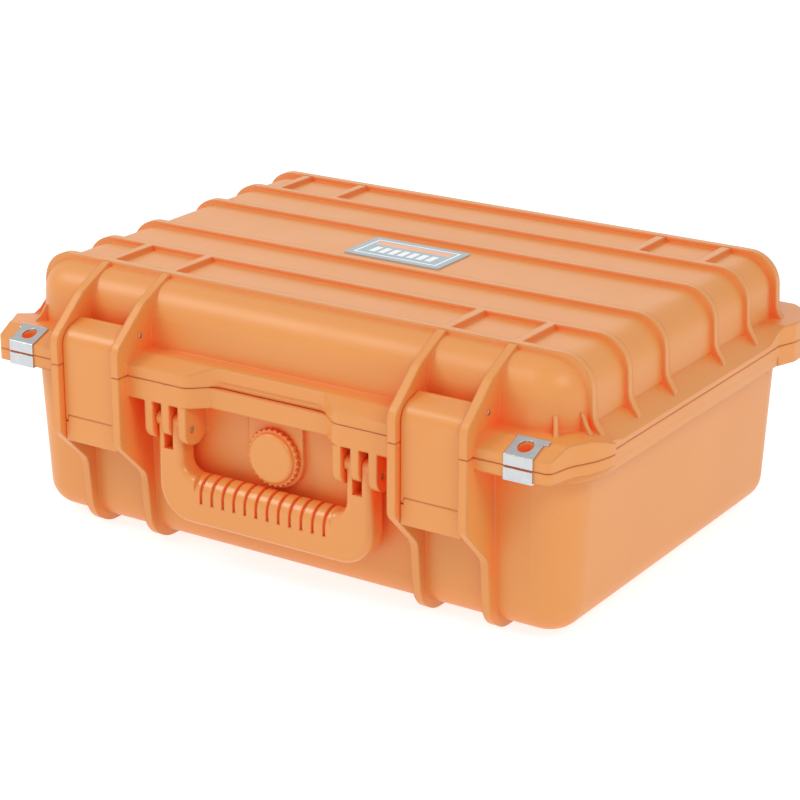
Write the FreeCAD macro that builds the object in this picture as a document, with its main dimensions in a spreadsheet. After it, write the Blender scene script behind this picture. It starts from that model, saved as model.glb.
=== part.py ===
"""A hard equipment case: base, lid, two rear hinges, two front latches, carry handle, purge valve and foam.

The frame has +Z up and the front of the case towards -Y. Its origin is on the resting plane, at the middle of
the closed case's overall width and depth. All sizes are millimetres and come from the sheet `dims`.
"""

import FreeCAD, Part
import math
import os
import re
import Sketcher
from FreeCAD import Placement, Rotation, Vector

# Driving dimensions: alias, value, what it is.
DIMENSIONS = [
    ("wall", 3.2, "thickness of both shells"),
    ("draft", 2.86, "draft of the moulded walls, degrees"),
    ("seam_z", 118, "height of the base's edge, and of the hinge axis"),
    ("seam_gap", 0.5, "gap between base and lid, outside the gasket"),
    ("case_top", 172, "height over the lid's ribs"),
    ("shell_width", 401, "base shell, side to side at the seam"),
    ("shell_depth", 289, "base shell, front to back at the seam"),
    ("shell_y", 6, "middle of the shells, behind the origin"),
    ("shell_corner", 27, "base shell's corner in plan"),
    ("front_wall", "=shell_y - shell_depth / 2 + wall / 2", "middle of the base's front wall at the seam"),
    ("back_wall", "=shell_y + shell_depth / 2 - wall / 2", "middle of its back wall there"),
    ("foot_rise", 4, "bottom panel above the resting plane"),
    ("bottom_round", 18, "edge between base walls and bottom"),
    ("lid_inset", 3, "lid wall inside the base wall, each side"),
    ("lid_corner", 28, "lid's corner in plan"),
    ("lid_round", 21, "edge between lid walls and top"),
    ("rib_proud", 3, "lid ribs above the lid's top and sides"),
    ("rib_thick", 5.5, "thickness of a moulded rib"),
    ("rib_middle", 10, "middle of the six lid ribs, behind the origin"),
    ("rib_half", 198.5, "half length of a lid rib, end to end"),
    ("rib_toe", 205.5, "half length over the flared toes of a lid rib"),
    ("rib_pitch_in", 32.4, "innermost pair of lid ribs, from their middle"),
    ("rib_pitch_mid", 78.5, "second pair"),
    ("rib_pitch_out", 121.2, "outermost pair"),
    ("rim_half", 210, "half width over the rim"),
    ("rim_front", -149, "front of the rim behind the latches"),
    ("rim_back", 157.5, "back of the rim"),
    ("rim_corner", 36, "rim's corner in plan"),
    ("rim_drop", 12.9, "base rim's height"),
    ("rim_crest", 12.8, "lid rim's height at the lid wall"),
    ("rim_edge", 2, "lid rim's height at its outer edge"),
    ("ear_thick", 6.8, "thickness of a padlock ear's front in each shell"),
    ("ear_front", -161, "front of the padlock ears"),
    ("lobe_back", 163, "back of the rear corner lobes"),
    ("lobe_half", 215, "half width over the rear corner lobes"),
    ("shelf_front", -158.6, "front of the shelf over the handle"),
    ("shelf_middle", -146, "front of the middle of that shelf"),
    ("shelf_notch", 39.4, "half width of that middle"),
    ("shelf_shoulder", 54, "half width where the shelf is full again"),
    ("shelf_bend", 11, "rounding of the shelf between them"),
    ("fin_thick", 5.9, "thickness of a latch fin"),
    ("fin_front", -167.5, "front edge of the latch fins"),
    ("fin_heel", 73.5, "where a base fin turns back to the wall"),
    ("fin_root", 49, "where it meets the wall rib"),
    ("latch_x", 123.85, "middle of a latch, from the case's middle"),
    ("fin_reach", 23.7, "middle of a fin, from the latch's middle"),
    ("hinge_x", 139.7, "middle of a hinge, from the case's middle"),
    ("hinge_reach", 23.2, "middle of a hinge fin, from the hinge's middle"),
    ("hinge_y", 163, "hinge axis, behind the origin"),
    ("hinge_eye", 4.5, "outer radius of a hinge eye"),
    ("hinge_pin_r", 2, "radius of a hinge pin"),
    ("running", 0.05, "radial clearance of every pin in its bore"),
    ("gap", 0.5, "gap between pieces that pass each other"),
    ("link_y", -145, "latch pin in the lid"),
    ("link_z", 140, "its height"),
    ("link_barrel", 4, "radius of the latch barrel round that pin"),
    ("latch_front", -163, "front face of a closed latch"),
    ("latch_thick", 4.5, "thickness of the latch plates"),
    ("latch_width", 40.5, "width of a latch"),
    ("latch_pin_r", 1.5, "radius of the latch pin"),
    ("lever_z", 83, "height of the pin between link and lever"),
    ("lever_barrel", 3.2, "radius of the lever's barrel"),
    ("lever_knuckle", 36.4, "length of the lever's barrel"),
    ("latch_relief", 0.6, "room round that barrel for the corners that turn past it"),
    ("lever_pin_r", 1.2, "radius of the lever pin"),
    ("lever_foot", 68, "bottom edge of a closed latch"),
    ("handle_y", -152, "handle's pivot axis"),
    ("handle_z", 90, "its height"),
    ("handle_top", 93.5, "where the round ends of the handle's arms begin"),
    ("prong_r", 5, "radius of those round ends"),
    ("handle_half", 78.3, "outer half width of the handle"),
    ("handle_inner", 59.9, "inner half width between its arms"),
    ("handle_front", -156, "front face of the handle"),
    ("handle_back", -140, "back face of the handle"),
    ("handle_foot", 29.5, "bottom of the handle"),
    ("handle_edge", 4.5, "rounding of the handle's edges"),
    ("grip_top", 60.5, "top of the grip"),
    ("grip_low", 45, "bottom of the ringed part of the grip"),
    ("grip_half", 50.5, "half length of the rounded part of the grip"),
    ("grip_round", 10.5, "rounding of the grip's front top edge"),
    ("grip_pitch", 8.25, "pitch of the grip's ring grooves"),
    ("groove", 1.1, "depth and half width of a ring groove"),
    ("handle_pin_r", 2, "radius of a handle pin"),
    ("lug_x", 69.1, "middle lug, from the case's middle"),
    ("lug_pitch", 12.6, "pitch of the handle lugs"),
    ("lug_thick", 5.8, "thickness of a handle lug"),
    ("lug_low", 79.7, "bottom of the outer lugs"),
    ("valve_z", 80.5, "height of the purge valve"),
    ("boss_half", 20, "half width of the valve's boss"),
    ("boss_front", -140.5, "front of the valve's boss"),
    ("knob_r", 18.3, "radius over the knob's teeth"),
    ("knob_face_r", 16, "radius of the knob's face"),
    ("knob_front", -147, "front of the knob"),
    ("knob_back", -141, "back of the knob"),
    ("knob_ring", 3, "width of its toothed ring"),
    ("knob_teeth_r", 1.5, "radius of the hollows between its teeth"),
    ("knob_stem_r", 4, "radius of the knob's stem"),
    ("valve_r", 7, "radius of the valve body"),
    ("plate_x", 179.4, "middle of a padlock plate"),
    ("plate_width", 18.7, "its width"),
    ("plate_thick", 1, "thickness of the stainless plates"),
    ("plate_back", -146, "back edge of a padlock plate"),
    ("plate_gap", 1.4, "gap between the two plates' front flanges"),
    ("padlock_y", -153.5, "padlock hole's middle"),
    ("padlock_r", 4.7, "radius of the padlock hole"),
    ("label_x", -4.5, "middle of the label, from the case's middle"),
    ("label_half", 35.5, "half width of the label"),
    ("gasket_width", 4, "width and height of the lid gasket"),
    ("gasket_half", 203, "half width of the gasket's middle line"),
]

doc = FreeCAD.newDocument("equipment_case")
sheet = doc.addObject("Spreadsheet::Sheet", "dims")
for row, (alias, number, meaning) in enumerate(DIMENSIONS, start=1):
    sheet.set(f"A{row}", str(number))
    sheet.setAlias(f"A{row}", alias)
    sheet.set(f"B{row}", meaning)
doc.recompute()

ALIASES = {alias for alias, number, meaning in DIMENSIONS}
X, Y, Z = "YZ_Plane", "XZ_Plane", "XY_Plane"  # the origin plane that each axis is normal to
pieces = []


# ---- helpers ----


def formula(text):
    """A sheet formula with each alias pointed at the sheet: seam_z becomes dims.seam_z."""
    return re.sub(r"[a-z_]+", lambda word: ("dims." if word[0] in ALIASES else "") + word[0], str(text))


def value(text):
    """The number that a sheet formula gives."""
    result = sheet.evalExpression(str(text))
    return float(getattr(result, "Value", result))


def bind(thing, name, text):
    """Ties one property, or one sketch constraint, to the sheet."""
    thing.setExpression(name, formula(text))


def new_body(label):
    """A part-design body that is one piece of the case."""
    body = doc.addObject("PartDesign::Body", label)
    body.Label = label
    pieces.append(body)
    return body


def origin_feature(body, role):
    return next(f for f in body.Origin.OriginFeatures if f.Role == role)


def new_sketch(body, plane, place):
    """An empty sketch on the plane normal to X, Y or Z, at that place along the axis."""
    sketch = body.newObject("Sketcher::SketchObject", "outline")
    sketch.AttachmentSupport = [(origin_feature(body, plane), "")]
    sketch.MapMode = "FlatFace"
    bind(sketch, "AttachmentOffset.Base.z", f"-({place})" if plane == Y else place)
    return sketch


def tie_point(sketch, index, which, across, up):
    """Ties a point of the sketch to two sheet formulas, measured from the sketch's origin."""
    for kind, text in (("DistanceX", across), ("DistanceY", up)):
        row = sketch.addConstraint(Sketcher.Constraint(kind, -1, 1, index, which, value(text)))
        bind(sketch, f"Constraints[{row}]", text)


def arc_about(middle, first, last, radius):
    """The arc that runs counter-clockwise from first to last."""
    begin = math.atan2(first.y - middle.y, first.x - middle.x)
    end = math.atan2(last.y - middle.y, last.x - middle.x)
    sweep = (end - begin) % (2 * math.pi)
    return Part.ArcOfCircle(Part.Circle(middle, Vector(0, 0, 1), radius), begin, begin + sweep)


def round_corner(sketch, corner, before, after):
    """Rounds one corner of an outline with an arc tangent to the lines before and after it."""
    tip = Vector(value(corner[0]), value(corner[1]), 0)
    radius = value(corner[2])
    leaves, joins = sketch.Geometry[before].EndPoint, sketch.Geometry[after].StartPoint
    bisector = ((leaves - tip).normalize() + (joins - tip).normalize()).normalize()
    middle = tip + bisector * math.hypot(radius, leaves.distanceToPoint(tip))
    forward = (leaves - middle).cross(joins - middle).z > 0
    first, last = (leaves, joins) if forward else (joins, leaves)
    arc = sketch.addGeometry(arc_about(middle, first, last, radius), False)
    sketch.addConstraint(Sketcher.Constraint("Tangent", before, 2, arc, 1 if forward else 2))
    sketch.addConstraint(Sketcher.Constraint("Tangent", arc, 2 if forward else 1, after, 1))
    row = sketch.addConstraint(Sketcher.Constraint("Radius", arc, radius))
    bind(sketch, f"Constraints[{row}]", corner[2])
    mark = sketch.addGeometry(Part.Point(tip), True)
    sketch.addConstraint(Sketcher.Constraint("PointOnObject", mark, 1, before))
    sketch.addConstraint(Sketcher.Constraint("PointOnObject", mark, 1, after))
    tie_point(sketch, mark, 1, corner[0], corner[1])


def draw_outline(sketch, corners):
    """A closed outline. A corner is (across, up) or (across, up, radius), each a sheet formula."""
    tips = [Vector(value(c[0]), value(c[1]), 0) for c in corners]
    starts, ends = [], []
    for i, tip in enumerate(tips):
        back = (tips[i - 1] - tip).normalize()
        ahead = (tips[(i + 1) % len(tips)] - tip).normalize()
        radius = value(corners[i][2]) if len(corners[i]) > 2 else 0
        setback = radius / math.tan(back.getAngle(ahead) / 2)
        ends.append(tip + back * setback)
        starts.append(tip + ahead * setback)
    lines = []
    for i in range(len(tips)):
        line = Part.LineSegment(starts[i], ends[(i + 1) % len(tips)])
        lines.append(sketch.addGeometry(line, False))
    for i, corner in enumerate(corners):
        if len(corner) > 2:
            round_corner(sketch, corner, lines[i - 1], lines[i])
        else:
            sketch.addConstraint(Sketcher.Constraint("Coincident", lines[i - 1], 2, lines[i], 1))
            tie_point(sketch, lines[i], 1, corner[0], corner[1])


def draw_circle(sketch, across, up, radius):
    circle = Part.Circle(Vector(value(across), value(up), 0), Vector(0, 0, 1), value(radius))
    index = sketch.addGeometry(circle, False)
    tie_point(sketch, index, 3, across, up)
    row = sketch.addConstraint(Sketcher.Constraint("Radius", index, value(radius)))
    bind(sketch, f"Constraints[{row}]", radius)


def draw(sketch, outline):
    """Draws a circle given as (across, up, radius), an outline given as its corners, or a list of either."""
    if isinstance(outline, tuple):
        draw_circle(sketch, *outline)
    elif isinstance(outline[0], tuple) and isinstance(outline[0][0], str):
        draw_outline(sketch, outline)
    else:
        for one in outline:
            draw(sketch, one)


def extrude(body, kind, plane, start, stop, outline, taper=None):
    """A Pad or Pocket of an outline, from start to stop along the axis that the plane is normal to."""
    before = body.Shape.Volume if body.Tip else 0
    sketch = new_sketch(body, plane, start)
    draw(sketch, outline)
    feature = body.newObject("PartDesign::" + kind, kind.lower())
    feature.Profile = sketch
    along = (value(stop) > value(start)) != (plane == Y)
    feature.Reversed = along if kind == "Pocket" else not along
    bind(feature, "Length", f"abs(({stop}) - ({start}))")
    if taper:
        bind(feature, "TaperAngle", taper)
    doc.recompute()
    if abs(body.Shape.Volume - before) < 1e-3:
        raise ValueError(f"{body.Label}: {feature.Name} changes nothing")
    return feature


def pad(body, plane, start, stop, outline, taper=None):
    return extrude(body, "Pad", plane, start, stop, outline, taper)


def pocket(body, plane, start, stop, outline, taper=None):
    return extrude(body, "Pocket", plane, start, stop, outline, taper)


def mirror(body, features):
    """Repeats features on the other side of the case."""
    mirrored = body.newObject("PartDesign::Mirrored", "mirrored")
    mirrored.Originals = features
    mirrored.MirrorPlane = (origin_feature(body, X), [""])
    body.Tip = mirrored
    doc.recompute()
    return mirrored


def edges_where(shape, test):
    """Names of the edges whose every sampled point passes the test."""
    names = []
    for number, edge in enumerate(shape.Edges, start=1):
        points = edge.discretize(3)
        if all(test(point) for point in points):
            names.append(f"Edge{number}")
    return names


def fillet(body, radius, test):
    """Rounds the edges that pass the test."""
    base = body.Tip
    names = edges_where(base.Shape, test)
    feature = body.newObject("PartDesign::Fillet", "fillet")
    feature.Base = (base, names)
    bind(feature, "Radius", radius)
    doc.recompute()
    if "Invalid" in feature.State:
        raise ValueError(f"{body.Label}: {feature.Name} failed on {len(names)} edges")
    return feature


def rectangle(left, right, low, high, radius=None):
    corners = [(left, low), (right, low), (right, high), (left, high)]
    return [corner + (radius,) for corner in corners] if radius else corners


def both_sides(half):
    """A plan outline symmetric about the case's middle, from its right half listed front to back."""
    left = [(f"-({corner[0]})",) + corner[1:] for corner in reversed(half)]
    return half + left


def left_twin(body, label):
    """The left-hand copy of a right-hand piece."""
    twin = doc.addObject("Part::Mirroring", label)
    twin.Label = label
    twin.Source = body
    twin.Normal = Vector(1, 0, 0)
    pieces.append(twin)
    return twin


def pin(label, left, right, y, z, radius):
    """A steel pin along X."""
    rod = doc.addObject("Part::Cylinder", label)
    rod.Label = label
    bind(rod, "Radius", radius)
    bind(rod, "Height", f"({right}) - ({left})")
    rod.Placement = Placement(Vector(0, 0, 0), Rotation(Vector(0, 1, 0), 90))
    bind(rod, "Placement.Base.x", left)
    bind(rod, "Placement.Base.y", y)
    bind(rod, "Placement.Base.z", z)
    pieces.append(rod)
    return rod


# ---- outlines that base and lid share ----


def shell_outline(inset, corner):
    """A shell's plan outline, inset from the base shell's outside at the seam."""
    return rectangle(
        f"-shell_width / 2 + ({inset})",
        f"shell_width / 2 - ({inset})",
        f"shell_y - shell_depth / 2 + ({inset})",
        f"shell_y + shell_depth / 2 - ({inset})",
        corner,
    )


def shelf_edge():
    """The right half of the shelf's front edge, in plan."""
    return [
        ("shelf_notch", "shelf_middle", "shelf_bend"),
        ("shelf_shoulder", "shelf_front", "shelf_bend"),
        ("latch_x - fin_reach", "shelf_front"),
    ]


def ear_outline():
    """The rim with its shelf, padlock ears and rear edge, in plan."""
    return both_sides(
        shelf_edge()
        + [
            ("latch_x - fin_reach", "rim_front"),
            ("latch_x + fin_reach", "rim_front"),
            ("latch_x + fin_reach", "ear_front"),
            ("199", "ear_front", "5"),
            ("202.5", "-143.5", "30"),
            ("210.5", "-129", "40"),
            ("213.7", "-115.5", "20"),
            ("213.7", "-112"),
            ("rim_half", "-111"),
            ("rim_half", "rim_back", "rim_corner"),
        ]
    )


def rim_outline():
    return rectangle("-rim_half", "rim_half", "rim_front", "rim_back", "rim_corner")


def lobe_outline():
    """A rear corner lobe, on which the case can stand upright, in plan."""
    return [
        ("rim_half - 10.8", "112"),
        ("rim_half", "112"),
        ("lobe_half", "126", "8"),
        ("lobe_half", "137", "8"),
        ("204.5", "lobe_back - 6", "8"),
        ("197", "lobe_back", "6"),
        ("183", "lobe_back", "3"),
        ("179", "rim_back"),
        ("179", "rim_back - 9"),
        ("rim_half - 10.8", "rim_back - 9", "shell_corner - 2"),
    ]


def fin_pair(middle, reach):
    """Two fins at equal reach from a middle, as the places of each one's two faces."""
    return [(f"{middle} {s} {reach} - fin_thick / 2", f"{middle} {s} {reach} + fin_thick / 2") for s in "-+"]


def wall_lean(height):
    """How far a drafted wall leans inwards over a height."""
    return f"({height}) * tan(draft)"


# ---- base shell ----


def front_rib():
    """A latch fin of the base, running down into a wall rib that wraps under the bottom as a foot."""
    wall_foot = f"front_wall + {wall_lean('seam_z - foot_rise')}"
    return [
        ("front_wall", "seam_z"),
        ("fin_front", "seam_z"),
        ("fin_front", "fin_heel", "8"),
        ("-143", "fin_root", "12"),
        ("-138", "0", "22"),
        ("-95", "0", "2"),
        ("-91", "foot_rise + wall / 2"),
        (wall_foot, "foot_rise + wall / 2", "bottom_round - wall / 2"),
    ]


def back_rib():
    """A rib below a hinge, ending in a foot under the bottom."""
    wall_foot = f"back_wall - {wall_lean('seam_z - foot_rise')}"
    return [
        ("back_wall", "seam_z - 5"),
        ("hinge_y + hinge_eye", "seam_z - 2"),
        ("hinge_y + hinge_eye", "seam_z - 12", "4"),
        ("154", "seam_z - 32", "10"),
        ("150", "0", "22"),
        ("107", "0", "2"),
        ("103", "foot_rise + wall / 2"),
        (wall_foot, "foot_rise + wall / 2", "bottom_round - wall / 2"),
    ]


def hinge_block():
    """The web of a base hinge knuckle, between the rim and the eye."""
    return [
        ("rim_back - 3", "seam_z - rim_drop"),
        ("hinge_y + hinge_eye - 3", "seam_z - rim_drop", "3"),
        ("hinge_y + hinge_eye", "seam_z"),
        ("rim_back - 3", "seam_z"),
    ]


def lug(low, corner):
    """A handle lug, hanging from the shelf against the front wall."""
    return [
        ("-135.2", "seam_z - rim_drop"),
        ("shelf_front", "seam_z - rim_drop"),
        ("shelf_front", low, corner),
        ("-146", low, "5"),
        ("-135.2", f"{low} + 6"),
    ]


def keeper():
    """The ledge under the rim that a latch claw pulls on."""
    return [("-135.2", "103"), ("-145", "103"), ("-145", "97", "1.5"), ("-135.2", "90")]


def base_rim(body):
    """The base's rim: side bands, shelf, padlock ears and rear lobes."""
    pad(body, Z, "seam_z", "seam_z - rim_drop", rim_outline(), "-draft")
    pad(body, Z, "seam_z", "seam_z - ear_thick", ear_outline())
    shelf = both_sides(shelf_edge() + [("latch_x - fin_reach", "rim_front + 19")])
    pad(body, Z, "seam_z", "seam_z - rim_drop", shelf)
    mirror(body, [pad(body, Z, "seam_z", "seam_z - rim_drop", lobe_outline())])


def hollow(body, near, far, inset, corner, radius):
    """Cuts a shell's cavity, from its edge to its far panel, with a body that has the cavity's shape."""
    space = doc.addObject("PartDesign::Body", body.Label + "_cavity")
    pad(space, Z, near, far, shell_outline(inset, corner), "-draft")
    end = value(far)
    fillet(space, radius, lambda p: abs(p.z - end) < 0.05)
    cut = body.newObject("PartDesign::Boolean", "cavity")
    cut.Type = "Cut"
    cut.addObject(space)
    body.Tip = cut
    doc.recompute()


def base_shell():
    body = new_body("base_shell")
    pad(body, Z, "seam_z", "foot_rise", shell_outline("0", "shell_corner"), "-draft")
    bottom = value("foot_rise")
    fillet(body, "bottom_round", lambda p: abs(p.z - bottom) < 0.1)
    base_rim(body)
    hollow(body, "seam_z", "foot_rise + wall", "wall", "shell_corner - wall", "bottom_round - wall")
    right = [pad(body, X, start, stop, front_rib()) for start, stop in fin_pair("latch_x", "fin_reach")]
    for offset, low, corner in (("-1", "lug_low", "9"), ("0", "lug_low + 4", "7"), ("1", "lug_low", "9")):
        middle = f"lug_x + ({offset}) * lug_pitch"
        right.append(pad(body, X, f"{middle} - lug_thick / 2", f"{middle} + lug_thick / 2", lug(low, corner)))
    right.append(pad(body, X, "latch_x - fin_reach", "latch_x + fin_reach", keeper()))
    inner = "hinge_x - hinge_reach + fin_thick / 2 + gap"
    outer = "hinge_x + hinge_reach - fin_thick / 2 - gap"
    right.append(pad(body, X, inner, outer, hinge_block()))
    right.append(pad(body, X, inner, outer, ("hinge_y", "seam_z", "hinge_eye")))
    right.append(pad(body, X, inner, f"{inner} + rib_thick", back_rib()))
    right.append(pad(body, X, outer, f"{outer} - rib_thick", back_rib()))
    mirror(body, right)
    boss = rectangle("-boss_half", "boss_half", "valve_z - boss_half", "seam_z - rim_drop + 1", None)
    boss[0] += ("boss_half - 0.1",)
    boss[1] += ("boss_half - 0.1",)
    pad(body, Y, "boss_front", "-135", boss)
    hinge_bore = ("hinge_y", "seam_z", "hinge_pin_r + running")
    handle_bore = ("handle_y", "handle_z", "handle_pin_r + running")
    holes = [
        pocket(body, X, "hinge_x - 25", "hinge_x + 25", hinge_bore),
        pocket(body, X, "lug_x - 18", "lug_x + 18", handle_bore),
        pocket(body, Z, "seam_z", "seam_z - 20", ("plate_x", "padlock_y", "padlock_r")),
    ]
    mirror(body, holes)
    pocket(body, Y, "boss_front", "boss_front + 1.9", ("0", "valve_z", "valve_r + 4.3"))
    pocket(body, Y, "boss_front", "boss_front + 12", ("0", "valve_z", "valve_r + running"))
    return body


# ---- lid shell ----


def long_rib(depth):
    """A lid rib along X: up one end of the lid, over the top and down the other, with flared toes.

    Its inner edge lies within the wall, depth inside the lid's outside at the seam, and leans with it.
    """
    inner = f"shell_width / 2 - lid_inset - ({depth})"
    wall_head = f"{inner} - {wall_lean('case_top - rib_proud - seam_z')}"
    return both_sides(
        [
            (wall_head, "case_top - rib_proud - wall / 2", "lid_round - wall / 2"),
            (f"{inner} - 0.4", "seam_z + 8"),
            ("rib_toe", "seam_z + 6"),
            ("rib_toe", "seam_z + 9", "1.5"),
            ("rib_half + 0.8", "seam_z + rim_crest + 5", "14"),
            ("rib_half - 1", "case_top", "lid_round"),
        ]
    )


def front_fin():
    """A latch fin of the lid: up from the seam, over the lid's front edge and back along the top to a rib."""
    wall_head = f"front_wall + lid_inset + {wall_lean('case_top - rib_proud - seam_z')}"
    return [
        ("front_wall + lid_inset", "seam_z + seam_gap"),
        ("fin_front", "seam_z + seam_gap"),
        ("fin_front", "seam_z + 18", "10"),
        ("-141", "seam_z + 41", "14"),
        ("-114", "case_top", "18"),
        ("rib_middle - rib_pitch_mid", "case_top"),
        ("rib_middle - rib_pitch_mid", "case_top - rib_proud - wall / 2"),
        (wall_head, "case_top - rib_proud - wall / 2", "lid_round - wall / 2"),
    ]


def back_fin():
    """A hinge fin of the lid: from the fifth rib over the lid's back edge and down to the hinge eye."""
    wall_head = f"back_wall - lid_inset - {wall_lean('case_top - rib_proud - seam_z')}"
    return [
        ("rib_middle + rib_pitch_mid", "case_top"),
        ("rib_middle + rib_pitch_mid", "case_top - rib_proud - wall / 2"),
        (wall_head, "case_top - rib_proud - wall / 2", "lid_round - wall / 2"),
        ("back_wall - lid_inset", "seam_z + seam_gap"),
        ("hinge_y", "seam_z + seam_gap"),
        ("hinge_y + hinge_eye", "seam_z"),
        ("hinge_y + hinge_eye", "seam_z + 10", "8"),
        ("157", "seam_z + 36", "14"),
        ("130", "case_top", "16"),
    ]


def ramp_rise(place):
    """How far the lid rim's front slope has risen at that place, from the front of the padlock ears."""
    return f"(rim_crest - ear_thick) * (({place}) - ear_front) / (shelf_middle - ear_front)"


def side_slope(drop):
    """The corner that a sloped rim lacks on one side, drop below the rim's crest at its edge, in X and Z."""
    return [
        ("lobe_half + 3", f"seam_z + rim_crest - ({drop}) * 1.27"),
        ("lobe_half + 3", "seam_z + rim_crest + 1"),
        ("shell_width / 2 - lid_inset - 1", "seam_z + rim_crest + 1"),
        ("shell_width / 2 - lid_inset - 1", "seam_z + rim_crest"),
    ]


def slope_side(body):
    """Slopes the rim along one side, fading out into the padlock ear and the rear lobe."""
    cut = body.newObject("PartDesign::SubtractiveLoft", "slope")
    sections = []
    full = "rim_crest - rim_edge"
    for place, drop in (("-131", "0.1"), ("-98", full), ("98", full), ("116", "0.1")):
        sketch = new_sketch(body, Y, place)
        draw(sketch, side_slope(drop))
        sections.append(sketch)
    doc.recompute()
    cut.Profile = sections[0]
    cut.Sections = sections[1:]
    cut.Ruled = True
    body.Tip = cut
    doc.recompute()
    return cut


def lid_rim(body):
    """The lid's rim: a slab with a sloped front, sloped sides and back, padlock ears and rear lobes."""
    crest = "seam_z + rim_crest"
    pad(body, Z, "seam_z + seam_gap", crest, ear_outline())
    lobe = pad(body, Z, "seam_z + seam_gap", crest, lobe_outline())
    front = [
        ("fin_front", f"seam_z + ear_thick + ({ramp_rise('fin_front')})"),
        ("shelf_middle", crest),
        ("shelf_middle", crest + " + 1"),
        ("fin_front", crest + " + 1"),
    ]
    ramp = pocket(body, X, "shelf_notch - shelf_bend", "lobe_half + 3", front)
    back = [
        ("rim_back - 12", crest),
        ("rim_back + 3", "seam_z + rim_edge"),
        ("rim_back + 3", crest + " + 1"),
        ("rim_back - 12", crest + " + 1"),
    ]
    behind = pocket(body, X, "0", "178", back)
    side = slope_side(body)
    mirror(body, [lobe, ramp, behind, side])


def corner_gusset(body, angle):
    """A small web at a front corner of the lid, radial to it, from the lid wall down to the padlock ear."""
    centre_x = "shell_width / 2 - lid_inset - lid_corner"
    centre_y = "shell_y - shell_depth / 2 + lid_inset + lid_corner"
    sketch = new_sketch(body, Y, centre_y)
    sketch.AttachmentOffset = Placement(sketch.AttachmentOffset.Base, Rotation(Vector(0, 1, 0), angle))
    bind(sketch, "AttachmentOffset.Base.x", centre_x)
    outline = [
        ("lid_corner - wall / 2", "seam_z + rim_crest - 1"),
        ("lid_corner + 8", "seam_z + rim_crest - 1"),
        ("lid_corner + 4", "seam_z + rim_crest + 3"),
        ("lid_corner - 0.5", "seam_z + rim_crest + 10"),
        ("lid_corner - wall / 2", "seam_z + rim_crest + 10"),
    ]
    draw(sketch, outline)
    web = body.newObject("PartDesign::Pad", "gusset")
    web.Profile = sketch
    web.Midplane = True
    bind(web, "Length", "rib_thick / 2")
    doc.recompute()
    return web


def lid_shell():
    body = new_body("lid_shell")
    roof = "case_top - rib_proud"
    pad(body, Z, "seam_z + seam_gap", roof, shell_outline("lid_inset", "lid_corner"), "-draft")
    top = value(roof)
    fillet(body, "lid_round", lambda p: abs(p.z - top) < 0.1)
    lid_rim(body)
    hollow(body, "seam_z", roof + " - wall", "lid_inset + wall", "lid_corner - wall", "lid_round - wall")
    right = [pad(body, X, start, stop, front_fin()) for start, stop in fin_pair("latch_x", "fin_reach")]
    for start, stop in fin_pair("hinge_x", "hinge_reach"):
        right.append(pad(body, X, start, stop, back_fin()))
        right.append(pad(body, X, start, stop, ("hinge_y", "seam_z", "hinge_eye")))
    right += [corner_gusset(body, angle) for angle in (-56, -22)]
    mirror(body, right)
    ribs = (
        ("- rib_pitch_out", "wall / 2"),
        ("- rib_pitch_mid", "wall / 2"),
        ("- rib_pitch_in", "wall / 2"),
        ("+ rib_pitch_in", "wall / 2"),
        ("+ rib_pitch_mid", "wall / 2"),
        ("+ rib_pitch_out", "wall + 1.3"),
    )
    for offset, depth in ribs:
        middle = f"rib_middle {offset}"
        pad(body, Y, f"{middle} - rib_thick / 2", f"{middle} + rib_thick / 2", long_rib(depth))
    hinge_bore = ("hinge_y", "seam_z", "hinge_pin_r + running")
    latch_bore = ("link_y", "link_z", "latch_pin_r + running")
    holes = [
        pocket(body, X, "hinge_x - 30", "hinge_x + 30", hinge_bore),
        pocket(body, X, "latch_x - 29", "latch_x + 29", latch_bore),
        pocket(body, Z, "seam_z", "seam_z + 20", ("plate_x", "padlock_y", "padlock_r")),
    ]
    mirror(body, holes)
    groove = gasket_ring("gasket_width / 2 + 2 * running")
    pocket(body, Z, "seam_z", "seam_z + gasket_width + 4 * running", groove)
    return body


def gasket_ring(half_width):
    """The gasket's two edges in plan, each half_width from its middle line."""
    return [
        rectangle(
            f"-gasket_half - ({sign}) * ({half_width})",
            f"gasket_half + ({sign}) * ({half_width})",
            f"rim_front + 5.5 - ({sign}) * ({half_width})",
            f"rim_back - 5 + ({sign}) * ({half_width})",
            f"30 + ({sign}) * ({half_width})",
        )
        for sign in ("1", "-1")
    ]


# ---- latches ----


def across_latch(half):
    """A stretch of X about the middle of the right-hand latch."""
    return f"latch_x - {half}", f"latch_x + {half}"


def latch_link():
    """The upper plate of a latch, from the lid's latch pin down to the lever's pin."""
    body = new_body("latch_link_right")
    back = "latch_front + latch_thick"
    plate = [
        ("latch_front", "lever_z"),
        ("latch_front", "link_z - 1", "12"),
        ("link_y", "link_z + link_barrel"),
        ("link_y", "link_z - link_barrel"),
        (back, "link_z - 7", "5"),
        (back, "lever_z"),
    ]
    pad(body, X, *across_latch("latch_width / 2"), plate)
    pad(body, X, *across_latch("latch_width / 2"), ("link_y", "link_z", "link_barrel"))
    lever_axis = "latch_front + lever_barrel"
    knuckle = (lever_axis, "lever_z", "lever_barrel - 0.2")
    outer, inner = across_latch("latch_width / 2"), across_latch("(lever_knuckle / 2 + 0.2)")
    pad(body, X, outer[0], inner[0], knuckle)
    pad(body, X, inner[1], outer[1], knuckle)
    pocket(body, X, *inner, (lever_axis, "lever_z", "lever_barrel + latch_relief"))
    pocket(body, X, *across_latch("22"), ("link_y", "link_z", "latch_pin_r + running"))
    pocket(body, X, *across_latch("22"), (lever_axis, "lever_z", "lever_pin_r + running"))
    return body


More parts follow.
